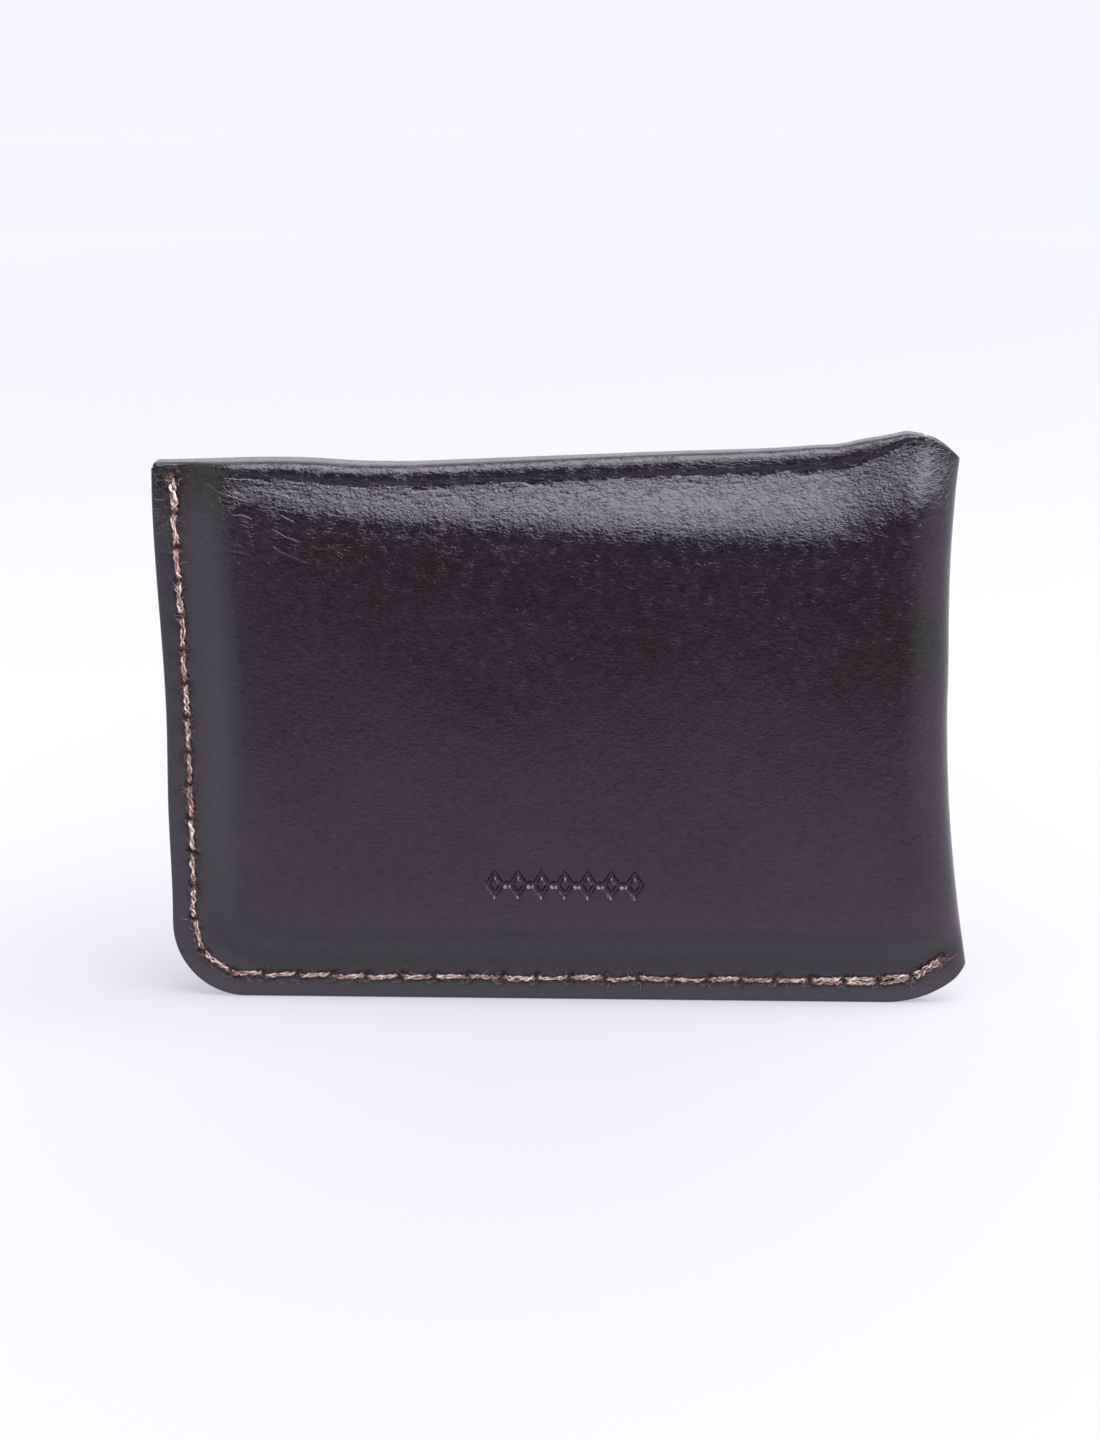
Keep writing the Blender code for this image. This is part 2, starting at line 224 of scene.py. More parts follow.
def crease_height(x):
    """The back crease dips left of the middle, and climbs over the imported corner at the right."""
    left = CREASE_RISE_LEFT * smooth(x, -24, -52)
    right = CREASE_TILT * np.maximum(0, x + 20)
    corner = 3.8 * smooth(x, 35, 50)
    sag = 0.25 * bell(x - 24, 16)
    return CREASE_Z - CREASE_DIP + left + right + corner - sag


def roll_height(x):
    """The top of the roll: a thin lip at the left, and a bump at the right that ends with the crease."""
    body = 0.8 + 1.75 * smooth(x, -53, -31) - 0.15 * smooth(x, 10, 30) + 0.25 * bell(x - 24, 16)
    body += 0.2 * bell(x - 34, 4) - 1.3 * smooth(x, 38, 46)
    tucked = 0.8 * smooth(x, FLAP_RIGHT - 0.35, FLAP_RIGHT)
    return crease_height(x) + body * (1 - smooth(x, FLAP_RIGHT - 3.2, FLAP_RIGHT + 0.2)) - tucked


def cut_height(side, share):
    """Top cut edge of the side fold, from the crease's end round to the front panel."""
    x = FOLD_START + (fold_edge(FOLD_TOP) - FOLD_START) * share
    past = np.maximum(0, x - FLAP_RIGHT) / (fold_edge(FOLD_TOP) - FLAP_RIGHT)
    if side < 0:
        start = crease_height(FLAP_RIGHT)
        return np.where(past > 0, start + (FOLD_TOP - start) * past**1.4, crease_height(x))
    return FRONT_TOP + (FOLD_TOP - FRONT_TOP) * smooth(share, 0, 1)


# Skin


def corner_distance(across, up, radius):
    """Distance in from an outline with a rounded corner, from the distances to its two sides."""
    a, b = np.maximum(0, radius - across), np.maximum(0, radius - up)
    return radius - np.sqrt(a * a + b * b)


def pocket_edge(x, z):
    """Distance in from the pocket's cut edges at the left and the bottom."""
    return np.minimum(corner_distance(x - left_edge(z), z, CORNER_RADIUS), z - fold_corner(x))


def pillow(x, z):
    """How much of its full depth a panel has: 0 on the seam and 1 over the cards."""
    inside = corner_distance(x - left_edge(z), z - fold_corner(x), PILLOW_CORNER)
    return smooth(inside, *SEAM_SLOPE)


def shoulder_height(x):
    """How far below the crease the back panel starts to turn in."""
    return SHOULDER[0] + (SHOULDER[1] - SHOULDER[0]) * smooth(x, -60, 45)


def groove_depth(x):
    """The crease is pressed in least at its two ends."""
    return GROOVE * (0.3 + 0.7 * smooth(x, -50, -34)) * (1 - smooth(x, 44, FLAP_RIGHT))


def crease_depth(x):
    """Depth of the back's outer face at the crease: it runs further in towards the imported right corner."""
    return CREASE_DEPTH - CREASE_SWING[0] - (CREASE_SWING[1] - CREASE_SWING[0]) * smooth(x, -45, 42)


def back_depth(x, z, below):
    """Depth of the back's outer face; below is the distance down from the crease or cut edge."""
    swell = CROWN[1] * (z - 36) ** 2 + CROWN[0] * ((x - 4) / 48) ** 2
    full = BACK_FACE + 0.25 - swell
    shoulder = shoulder_height(x)
    eased = np.sqrt(below * below + CREASE_SOFT**2)
    share = np.maximum(0, shoulder - eased) / (shoulder - CREASE_SOFT)
    return full - (full - crease_depth(x)) * share**SHOULDER_POWER


def wander(x, z):
    """The gentle unevenness of a panel of hide over a stack of cards."""
    broad = 0.10 * noise(x / 19 + 3.1, z / 15 + 1.7, 5)
    return broad + 0.035 * noise(x / 7.5, z / 6 + 0.4, 6)


def wrap_y(x, z, below, side):
    """y of the outer face before its fine detail, with side -1 on the back and 1 on the front."""
    low = smooth(z - fold_corner(x), *SEAM_SLOPE)
    back = SEAM_FACE + (back_depth(x, z, below) - SEAM_FACE) * low
    front = SEAM_FACE + (FRONT_FACE - SEAM_FACE) * low
    width = SEAM_FACE + (FOLD_RADIUS - SEAM_FACE) * low
    along = np.clip((x - (fold_edge(z) - width)) / width, 0, 1)
    middle, half = (front - back) / 2, (front + back) / 2
    turned = middle + side * half * np.sqrt(np.maximum(0, 1 - along * along))
    rise = pillow(x, z)
    here = np.where(side < 0, back_depth(x, z, below), FRONT_FACE)
    flat = side * (SEAM_FACE + (here - SEAM_FACE) * rise)
    return np.where(along > 0, turned, flat)


def steps(*spans):
    """Grid lines through spans of (start, end, step), in order."""
    lines = [np.linspace(a, b, max(1, round((b - a) / step)) + 1)[:-1] for a, b, step in spans]
    return np.append(np.concatenate(lines), spans[-1][1])


def even(lines):
    """Adds a line in the widest gap if there would be an odd number of cells."""
    if len(lines) % 2:
        return lines
    widest = int(np.argmax(np.diff(lines)))
    return np.insert(lines, widest + 1, (lines[widest] + lines[widest + 1]) / 2)


def grid_normals(points):
    """Unit normals of a grid of points whose columns run anticlockwise seen from above."""
    across = np.gradient(points, axis=0)
    up = np.gradient(points, axis=1)
    return unit(np.cross(across, up))


def respaced(lines):
    """The points of each line moved along it, so that none of them lie closely together."""
    evened = 0.3
    made = np.empty_like(lines)
    for i, line in enumerate(lines):
        place = lengths(line)
        wanted = place * (1 - evened) + np.linspace(0, place[-1], len(place)) * evened
        for axis in range(3):
            made[i, :, axis] = np.interp(wanted, place, line[:, axis])
    return made


def seam_line():
    """Points along the seam, from the pocket's mouth down the left side and along the bottom."""
    inner = CORNER_RADIUS - STITCH_MARGIN
    centre_x = left_edge(CORNER_RADIUS) + CORNER_RADIUS
    down = np.linspace(SEAM_TOP, CORNER_RADIUS, 31)
    turn = np.linspace(0, math.pi / 2, 13)[1:]
    x = np.append(left_edge(down) + STITCH_MARGIN, centre_x - inner * np.cos(turn))
    z = np.append(down, CORNER_RADIUS - inner * np.sin(turn))
    along = np.linspace(x[-1], SEAM_END_X, 61)[1:]
    rise = SEAM_END_RISE * smooth(along, SEAM_END_X - 6, SEAM_END_X)
    return np.append(x, along), np.append(z, STITCH_MARGIN + fold_corner(along) + rise)


def stitch_holes():
    """(x, z, direction along the seam) of each hole; the direction is a unit (x, z)."""
    x, z = seam_line()
    length = lengths(np.stack([x, z], 1))
    places = np.linspace(0, length[-1], STITCHES + 1)
    reach = 0.3
    ahead, behind = np.minimum(places + reach, length[-1]), np.maximum(places - reach, 0)
    dx = np.interp(ahead, length, x) - np.interp(behind, length, x)
    dz = np.interp(ahead, length, z) - np.interp(behind, length, z)
    size = np.hypot(dx, dz)
    return np.stack([np.interp(places, length, x), np.interp(places, length, z), dx / size, dz / size], 1)


HOLES = stitch_holes()
HOLE_SHAPE = (0.72, 0.40)
HOLE_DEPTH = 0.42
HOLE_REACH = 5
SLIT_SLANT = 0.45
PULL = (0.15, 1.8, 1.2)  # depth, width and length of the dip that the thread pulls round each hole
GROOVE_UNDER = (0.10, 0.55, 2.4)  # the same of the groove under the thread


def seam_dents(x, z):
    """(depth of the dents at the holes and of the thread's groove, painted shade inside the slits)."""
    depth = np.zeros_like(x)
    dark = np.zeros_like(x)
    for hole_x, hole_z, along_x, along_z in HOLES:
        near = (np.abs(x - hole_x) < HOLE_REACH) & (np.abs(z - hole_z) < HOLE_REACH)
        dx, dz = x[near] - hole_x, z[near] - hole_z
        along, across = dx * along_x + dz * along_z, dx * along_z - dz * along_x
        slanted = along + SLIT_SLANT * across
        slit = np.exp(-((across / HOLE_SHAPE[0]) ** 4) - (slanted / HOLE_SHAPE[1]) ** 2)
        depth_at, width, length = PULL
        pulled = depth_at * np.exp(-((across / width) ** 2) - (along / length) ** 2)
        depth_at, width, length = GROOVE_UNDER
        groove = depth_at * np.exp(-((across / width) ** 2) - (np.abs(along) / length) ** 6)
        depth[near] = np.maximum(depth[near], HOLE_DEPTH * slit + pulled + groove)
        dark[near] = np.maximum(dark[near], slit)
    return depth, dark


# Ornament: a row of lozenges with a dot between neighbours, pressed into the back

ORNAMENT_X = 0.65
ORNAMENT_Z = 16.7
ORNAMENT_PITCH = 3.1
ORNAMENTS = 7
ORNAMENT_HALF = (1.3, 2.0)
ORNAMENT_DEPTH = 0.40
DOT_RADIUS = 0.42


def ornament(x, z):
    """Depth of the pressed ornament."""
    pressed = np.zeros_like(x)
    for i in range(ORNAMENTS):
        dx = x - ORNAMENT_X - (i - (ORNAMENTS - 1) / 2) * ORNAMENT_PITCH
        dz = z - ORNAMENT_Z
        lozenge = np.abs(dx) / ORNAMENT_HALF[0] + np.abs(dz) / ORNAMENT_HALF[1]
        ring = smooth(lozenge, 1.14, 0.86) * (1 - smooth(lozenge, 0.62, 0.34))
        pressed = np.maximum(pressed, ring)
        if i < ORNAMENTS - 1:
            dot = np.hypot(dx - ORNAMENT_PITCH / 2, dz)
            pressed = np.maximum(pressed, smooth(dot, DOT_RADIUS + 0.2, DOT_RADIUS - 0.2))
    return ORNAMENT_DEPTH * pressed


def crease_wrinkles(x, below):
    """Wrinkles along the crease and on the shoulder under it, as depth."""
    near = np.exp(-np.abs(below) / 1.1)
    fine = 0.17 * near * ridges(x / 3.6, below / 0.7, 21)
    lines = 0.03 * bell(below - 1.6, 1.4) * ridges(x / 2.4 + below / 3, below / 0.7, 31)
    left = 0.20 * smooth(x, -30, -46) * bell(below - 5.5, 5) * ridges(x / 8 + below / 6, below / 2.2, 51)
    return fine + lines + left


SKIN_VALUES = ("hole", "wrinkled", "hairlines", "painted_sheen")


class Skin:
    """A grid of points on the outer face with the values its material reads at each of them."""

    def __init__(self, base, depth, skin_u, skin_v, cut, inner=None, **values):
        self.inner = base - grid_normals(base) * LEATHER if inner is None else inner
        self.points = base - grid_normals(base) * depth[..., None]
        self.flat = np.stack([skin_u, skin_v, np.zeros_like(skin_u)], 2)
        zero = np.zeros(base.shape[:2])
        self.values = {label: values.get(label, zero) for label in SKIN_VALUES}
        self.cut = cut


PANEL_WIDTH = HALF_WIDTH + FOLD_START


def panel_line(distance, levels, top):
    """(x, z) of a grid line up a panel at a distance from its left edge, with its end at the top."""
    low = rounding(distance, CORNER_RADIUS) + fold_corner(distance - HALF_WIDTH)
    z = low + levels * (top - low) / levels[-1]
    return left_edge(z) + distance / PANEL_WIDTH * (FOLD_START - left_edge(z)), z


def wrap_grid():
    """Outer face of the back panel and the side fold, in lines from the left edge round to the front.

    It gives the points, their distances below the top edge, and whether each line is on the back.
    """
    corner = quarter_round(CORNER_RADIUS, 27)
    ornament_span = (HALF_WIDTH + ORNAMENT_X - 11.6, HALF_WIDTH + ORNAMENT_X + 11.6)
    flat = steps(
        (CORNER_RADIUS, 14, 0.42),
        (14, ornament_span[0], 0.52),
        (*ornament_span, 0.165),
        (ornament_span[1], PANEL_WIDTH, 0.46),
    )
    across = np.insert(np.append(corner[:-1], flat), -1, PANEL_WIDTH - 0.2)
    quarter = np.sin(np.linspace(0, math.pi / 2, 27))[1:]
    levels = even(
        steps(
            (0, 0.6, 0.12),
            (0.6, 8, 0.25),
            (8, 14.4, 0.45),
            (14.4, 19, 0.165),
            (19, 58, 0.6),
            (58, 66, 0.36),
            (66, 69, 0.2),
            (69, CREASE_Z, 0.13),
        )
    )
    columns, belows = [], []
    for distance in across:
        top = crease_height(distance - HALF_WIDTH)
        x, z = panel_line(distance, levels, top)
        columns.append(np.stack([x, wrap_y(x, z, top - z, -1), z], 1))
        belows.append(top - z)
    turns = [(-1, share) for share in quarter] + [(1, share) for share in np.append(quarter[-2::-1], 0)]
    for side, share in turns:
        low = fold_corner(FOLD_START + (HALF_WIDTH - FOLD_START) * share)
        top = float(cut_height(side, share))
        z = low + levels * (top - low) / CREASE_Z
        x = FOLD_START + (fold_edge(z) - FOLD_START) * share
        columns.append(np.stack([x, wrap_y(x, z, top - z, side), z], 1))
        belows.append(top - z)
    is_back = np.arange(len(columns)) < len(across) + len(quarter)
    return np.array(columns), np.array(belows), is_back


def skin_lengths(points):
    """Unrolled coordinates of a grid: distance round the wrap and height up the panel."""
    round_wrap = lengths(points[:, points.shape[1] // 2])
    heights = np.linalg.norm(np.diff(points, axis=1), axis=2)
    up = np.concatenate([np.zeros((len(points), 1)), np.cumsum(heights, axis=1)], 1)
    up = up + points[:, :1, 2]
    return np.repeat(round_wrap[:, None], points.shape[1], 1) - HALF_WIDTH, up


def wrap_skin():
    """Skin of the back panel and the side fold."""
    points, below, is_back = wrap_grid()
    u, v = skin_lengths(points)
    x, z = points[..., 0], points[..., 2]
    on_back = is_back[:, None] * np.ones_like(x)
    under_flap = on_back * smooth(x, FLAP_RIGHT + 0.6, FLAP_RIGHT - 0.6)
    dents, dark = seam_dents(x, z)
    on_seam = on_back * (x < SEAM_END_X + 1.5)
    edge = pocket_edge(x, z)
    edge = np.where(under_flap > 0.5, edge, np.minimum(edge, below))
    depth = dents * on_seam + ornament(x, z) * on_back + rounding(edge, EDGE_ROUND)
    depth += under_flap * (groove_depth(x) * bell(below, GROOVE_WIDTH) + crease_wrinkles(x, below))
    front_share = (1 - on_back) * smooth(x, FOLD_START + 7, FOLD_START)
    depth -= wander(u, v) * pillow(x, z) * smooth(below, 1, 8) * (1 - front_share)
    wrinkled = on_back * np.exp(-((np.maximum(0, below - 2) / 6.5) ** 2))
    hairlines = on_back * smooth(x, -22, -40) * bell(below - 5.5, 5.5)
    # Painted sheen: the margins along the left edge and the bottom are made lighter, as the slopes' sheen
    painted_sheen = np.maximum(0.6 * bell(x - left_edge(z) + 1, 9.0), bell(z + 1, 9.0))
    painted_sheen = painted_sheen * on_back * smooth(below, 1, 8)
    values = {"hole": dark * on_seam, "wrinkled": wrinkled, "hairlines": hairlines, "painted_sheen": painted_sheen}
    normals = grid_normals(points)
    normals[is_back & (points[:, -1, 0] < FLAP_RIGHT), -1] = CREASE_NORMAL
    return Skin(points, depth, u, v, (1, 0, 1, 0), points - normals * LEATHER, **values)


def front_skin():
    """Outer face of the front panel, from the fold to the left edge."""
    corner = quarter_round(CORNER_RADIUS, 19)
    across = even(np.append(corner[:-1], steps((CORNER_RADIUS, PANEL_WIDTH, 0.8))))[::-1]
    levels = even(steps((0, 0.6, 0.15), (0.6, 11, 0.3), (11, 68.8, 0.9), (68.8, FRONT_TOP, 0.15)))
    columns = []
    for distance in across:
        x, z = panel_line(distance, levels, FRONT_TOP)
        columns.append(np.stack([x, wrap_y(x, z, FAR_BELOW, 1), z], 1))
    points = np.array(columns)
    u, v = skin_lengths(points)
    x, z = points[..., 0], points[..., 2]
    dents, dark = seam_dents(x, z)
    edge = pocket_edge(x, z)
    depth = dents + rounding(np.minimum(edge, FRONT_TOP - z), EDGE_ROUND) + snap_dish(x, z, FRONT_DISH)
    depth -= wander(u, v) * pillow(x, z) * smooth(x, FOLD_START, FOLD_START - 7)
    return Skin(points, depth, u + FRONT_SKIN_START, v, (0, 1, 1, 1), hole=dark)


def snap_dish(x, z, depth):
    """The shallow dish that the snap's discs press into the leather."""
    return depth * smooth(np.hypot(x - SNAP_X, z - SNAP_Z), *DISH_EDGE)


def roll_profile(x, share):
    """A point of the roll over the top at x; share goes from 0 at the crease to 1 at its highest line."""
    start = wrap_y(x, crease_height(x), 0.0, -1) + groove_depth(x)
    height = roll_height(x) - crease_height(x)
    bend, flatness = ROLL_SHAPE
    turn = 0.9
    turned_in = 1 - (1 - turn**bend) ** flatness
    level = np.clip((share - 0.6) / 0.4, 0, 1)
    rise = turn * np.clip(share / 0.6, 0, 1)
    across = np.where(level > 0, turned_in + (1 - turned_in) * level, 1 - (1 - rise**bend) ** flatness)
    rise = np.where(level > 0, (1 - (1 - across) ** (1 / flatness)) ** (1 / bend), rise)
    lift, sink = np.maximum(height, 0), np.minimum(height, 0)
    y = start + (ROLL_TOP_Y - start) * across - ROLL_OVERHANG * lift * np.sin(math.pi * rise)
    return y, crease_height(x) + lift * rise + sink * across


def flap_y(z):
    """y of the flap's outer face."""
    return FLAP_FACE + (FRONT_CREASE - FLAP_FACE) * smooth(z, 55, FLAP_TOP)


def flap_columns():
    """x of the columns of the flap and its roll."""
    corner = quarter_round(FLAP_CORNER, 25)
    width = FLAP_RIGHT - FLAP_LEFT
    middle = steps((FLAP_CORNER, width - FLAP_CORNER, 0.55))
    return even(np.concatenate([corner[:-1], middle, width - corner[-2::-1]]))[::-1] + FLAP_LEFT


# Meshes


def world_points(points):
    """This script's points as a list in metres in the row frame."""
    return ((points + [0, SEAM_Y, 0]) * MM).tolist()


def placed(name, data):
    """A new object in the scene for a mesh, a lamp or a camera."""
    made = bpy.data.objects.new(name, data)
    bpy.context.scene.collection.objects.link(made)
    return made


def new_piece(name, points, faces):
    """A smooth-shaded object from points in metres and the faces between them."""
    mesh = bpy.data.meshes.new(name)
    mesh.from_pydata(points, [], faces)
    mesh.update()
    mesh.shade_smooth()
    return placed(name, mesh)


def sheet_of_leather(name, skin):
    """A closed sheet from a grid on its outer face; its inner face has half as many lines each way."""
    outer = skin.points
    columns, rows = outer.shape[:2]
    inner = skin.inner[::2, ::2]
    inner_columns, inner_rows = inner.shape[:2]
    outer_index = np.arange(columns * rows).reshape(columns, rows)
    inner_index = columns * rows + np.arange(inner_columns * inner_rows).reshape(inner_columns, inner_rows)
    faces = []
    for index, flip in ((outer_index, 1), (inner_index, -1)):
        quads = np.stack([index[:-1, :-1], index[1:, :-1], index[1:, 1:], index[:-1, 1:]], 2)
        faces += quads.reshape(-1, 4)[:, ::flip].tolist()
    faces += rim_faces(border(outer_index), border(inner_index))
    points = np.concatenate([outer.reshape(-1, 3), inner.reshape(-1, 3)])
    piece = new_piece(name, world_points(points), faces)
    mesh = piece.data
    lines = (outer_index[0], outer_index[-1], outer_index[:, 0], outer_index[:, -1])
    keep_level(mesh, [line for line, is_cut in zip(lines, skin.cut) if not is_cut])
    inner_part = (slice(None, None, 2), slice(None, None, 2))
    flat = [skin.flat.reshape(-1, 3), skin.flat[inner_part].reshape(-1, 3)]
    add_values(mesh, "skin", np.concatenate(flat))
    raw = np.zeros(columns * rows)
    for line, is_cut in zip(lines, skin.cut):
        raw[line] = np.maximum(raw[line], is_cut)
    for label, grid in (*skin.values.items(), ("raw", raw)):
        inside = np.full(inner_columns * inner_rows, float(label == "raw"))
        add_values(mesh, label, np.concatenate([grid.reshape(-1), inside]))
    return piece


def keep_level(mesh, lines):
    """Splits the shading at borders where another sheet carries on, so that it stays level across them."""
    joined = {tuple(sorted(pair)) for line in lines for pair in zip(line[:-1].tolist(), line[1:].tolist())}
    sharp = [tuple(sorted(edge.vertices)) in joined for edge in mesh.edges]
    mesh.attributes.new("sharp_edge", "BOOLEAN", "EDGE").data.foreach_set("value", sharp)


def border(index):
    """The grid's outside points in order, starting up the first column's bottom and going round."""
    return np.concatenate([index[:-1, 0], index[-1, :-1], index[:0:-1, -1], index[0, :0:-1]])


def rim_faces(outer, inner):
    """Five-sided faces that close the cut edge, each over two outer cells and one inner one."""
    after = np.roll(outer, -2)
    return np.stack([inner, np.roll(inner, -1), after[::2], outer[1::2], outer[::2]], 1).tolist()


def add_values(mesh, label, values):
    """Stores a number or a vector at each point, for the material to read."""
    kind = "FLOAT_VECTOR" if values.ndim == 2 else "FLOAT"
    attribute = mesh.attributes.new(label, kind, "POINT")
    attribute.data.foreach_set("vector" if values.ndim == 2 else "value", values.astype(np.float32).ravel())


def spine_skin():
    """Outer face of the roll from the crease to its highest line."""
    x = flap_columns()[::-1]
    shares = even(np.concatenate([np.linspace(0, 0.3, 13)[:-1], np.linspace(0.3, 1, 23)]))
    grid_x, share = np.meshgrid(x, shares, indexing="ij")
    y, z = roll_profile(grid_x, share)
    points = respaced(np.stack([grid_x, y, z], 2))
    _, v = skin_lengths(points)
    v = v - v[:, :1]
    edge = np.minimum(grid_x - FLAP_LEFT, FLAP_RIGHT - grid_x)
    depth = rounding(edge, EDGE_ROUND) + crease_wrinkles(grid_x, -v) * np.exp(-v / 1.2)
    depth += 0.02 * ridges(grid_x / 5, v / 0.7, 71) * smooth(share, 0.05, 0.3) * smooth(share, 1, 0.7)
    start = points[:, :1] - np.multiply(SPINE_START_NORMAL, LEATHER)
    end = points[:, -1:] - np.multiply(ROLL_TOP_NORMAL, LEATHER)
    inner = start + (end - start) * share[..., None]
    return Skin(points, depth, grid_x, v + CREASE_Z, (1, 1, 0, 0), inner, wrinkled=np.ones_like(v))


def flap_skin():
    """Outer face of the flap, from the roll's highest line down to its rounded bottom."""
    x = flap_columns()
    width = FLAP_RIGHT - FLAP_LEFT
    columns = []
    turns = np.linspace(1, 0, 23)[:-1] * math.pi / 2
    drops = even(np.append(steps((0, 0.965, 0.012)), np.linspace(0.965, 1, 9)[1:]))
    for column_x in x:
        low = FLAP_BOTTOM + rounding(min(column_x - FLAP_LEFT, FLAP_RIGHT - column_x), FLAP_CORNER)
        top = float(roll_height(np.array(column_x)))
        roll_y = ROLL_TOP_Y + (FRONT_CREASE - ROLL_TOP_Y) * np.cos(turns)
        roll_z = FLAP_TOP + (top - FLAP_TOP) * np.sin(turns)
        z = FLAP_TOP + (low - FLAP_TOP) * drops
        y = np.append(roll_y, flap_y(z))
        z = np.append(roll_z, z)
        columns.append(np.stack([np.full_like(z, column_x), y, z], 1)[::-1])
    points = np.array(columns)
    _, v = skin_lengths(points)
    grid_x, z = points[..., 0], points[..., 2]
    from_end = np.minimum(grid_x - FLAP_LEFT, FLAP_RIGHT - grid_x)
    edge = corner_distance(from_end, z - FLAP_BOTTOM, FLAP_CORNER)
    depth = rounding(np.minimum(edge, from_end), EDGE_ROUND) + snap_dish(grid_x, z, FLAP_DISH)
    depth -= 0.8 * wander(grid_x + 40, v) * smooth(edge, 2, 9) * smooth(z, 69, 62)
    bend = bell(z - FLAP_TOP, 4)
    depth += 0.05 * bend * ridges(grid_x / 3.5, v / 0.9, 81)
    wrinkled = np.clip(bend + smooth(z, 68, 72), 0, 1)
    normals = grid_normals(points)
    normals[:, -1] = ROLL_TOP_NORMAL
    inner = points - normals * LEATHER
    inner[..., 1] = np.minimum(inner[..., 1], flap_y(np.minimum(z, FLAP_TOP)) - LEATHER)
    inner[..., 2] = np.minimum(inner[..., 2], roll_height(grid_x) - LEATHER * ROLL_TOP_NORMAL[2])
    u = FLAP_SKIN_START - grid_x
    return Skin(points, depth, u, v, (1, 1, 1, 0), respaced(inner), wrinkled=wrinkled)


# Snap


SNAP_LOW, SNAP_HIGH = node_box("snap_cap")
SNAP_X = (SNAP_LOW[0] + SNAP_HIGH[0]) / 2
SNAP_Z = (SNAP_LOW[2] + SNAP_HIGH[2]) / 2
DISH_EDGE = (6.0, 4.9)
SNAP_GAP = 0.15
DISC = 0.4
FLANGE = 0.35
STUD_HEIGHT = 1.85
CAP_TOP = SNAP_HIGH[1] - SEAM_Y


def rounded(profile, radius=0.12, points=4):
    """The closed profile with each corner off the axis rounded."""
    made = []
    count = len(profile)
    for i in range(count):
        before, here, after = (np.array(profile[k % count], float) for k in (i - 1, i, i + 1))
        if here[0] == 0:
            made.append(tuple(here))
            continue
        reach = min([radius, *(0.45 * np.linalg.norm(other - here) for other in (before, after))])
        start, end = (here + unit(other - here) * reach for other in (before, after))
        for t in np.linspace(0, 1, points):
            made.append(tuple((1 - t) ** 2 * start + 2 * t * (1 - t) * here + t * t * end))
    return made


def turned(name, profile, sides=96):
    """A round piece about the snap's axis, from a closed profile of (radius, y)."""
    points, rings = [], []
    for radius, y in profile:
        count = 1 if radius == 0 else sides
        rings.append((len(points) + np.arange(sides) % count).tolist())
        angles = np.arange(count) * 2 * math.pi / count
        points += [(SNAP_X + radius * math.sin(a), y, SNAP_Z + radius * math.cos(a)) for a in angles]
    faces = []
    for here, after in zip(rings, rings[1:] + rings[:1]):
        for i in range(sides):
            j = (i + 1) % sides
            corners = list(dict.fromkeys([here[i], here[j], after[j], after[i]]))
            if len(corners) > 2:
                faces.append(corners[::-1])
    return new_piece(name, world_points(np.array(points)), faces)


# Thread


PLIES = 2
PLY_OFFSET = 0.185
PLY_PITCH = 2.5
FILAMENTS = 3
FILAMENT_RADIUS = 0.105
FILAMENT_OFFSET = 0.095
FILAMENT_PITCH = 1.5
STITCH_POINTS = 30
STITCH_INSET = 0.06  # share of a stitch by which the thread stays short of each hole's middle
STITCH_SINK = 1.3
STITCH_SINK_SHARE = 0.12
FIBRES_AT_HOLE = 11
FIBRES_AT_END = 26
FIBRES_ALONG = 6
FIBRE_RADIUS = 0.026
TUBE_GUIDE = (0.31, 0.87, 0.38)  # no path of this script runs along this direction
random = np.random.default_rng(7)


def tube(path, radius, sides):
    """Points and faces of a closed tube along a path, whose radius may vary."""
    path = np.asarray(path, float)
    radius = np.broadcast_to(radius, len(path))
    tangent = unit(np.gradient(path, axis=0))
    first = unit(np.cross(tangent, TUBE_GUIDE))
    second = np.cross(tangent, first)
    angle = np.arange(sides) * 2 * math.pi / sides
    ring = first[:, None] * np.cos(angle)[None, :, None] + second[:, None] * np.sin(angle)[None, :, None]
    points = (path[:, None] + ring * radius[:, None, None]).reshape(-1, 3)
    here = np.arange(len(points)).reshape(len(path), sides)
    beside = np.roll(here, -1, axis=1)
    faces = np.stack([here[:-1], beside[:-1], beside[1:], here[1:]], 2).reshape(-1, 4).tolist()
    return points, faces + [here[0, ::-1].tolist(), here[-1].tolist()]


class Bundle:
    """Tubes gathered into one mesh, with a tone for each."""

    def __init__(self):
        self.points, self.faces, self.tones, self.count = [], [], [], 0

    def add(self, path, radius, sides, tone):
        points, faces = tube(path, radius, sides)
        self.faces += [[i + self.count for i in face] for face in faces]
        self.points.append(points)
        self.tones.append(np.full(len(points), tone))
        self.count += len(points)

    def build(self, name):
        piece = new_piece(name, world_points(np.concatenate(self.points)), self.faces)
        add_values(piece.data, "tone", np.concatenate(self.tones))
        return piece


def face_height(x, z, side):
    """How far the leather under the thread lies from the middle of the seam."""
    return abs(float(wrap_y(np.array(x), np.array(z), FAR_BELOW, side)))


def stitch_path(start, end, side, lift, slant):
    """The middle of a thread over one face from hole to hole, with its ends inside the holes."""
    t = np.linspace(0, 1, STITCH_POINTS)
    span = end[:2] - start[:2]
    along = unit(span)
    across = np.array([along[1], -along[0]])
    inside = STITCH_INSET + (1 - 2 * STITCH_INSET) * t
    place = start[:2] + span * inside[:, None] + across * (slant * (0.5 - t))[:, None]
    heights = [face_height(*spot, side) for spot in (start[:2], place[STITCH_POINTS // 2], end[:2])]
    face = np.interp(t, [0, 0.5, 1], heights)
    ends = np.minimum(t, 1 - t)
    sunk = np.clip(1 - ends / STITCH_SINK_SHARE, 0, 1) ** 1.5 * STITCH_SINK
    y = side * (face + lift - sunk)
    return np.stack([place[:, 0], y, place[:, 1]], 1), across


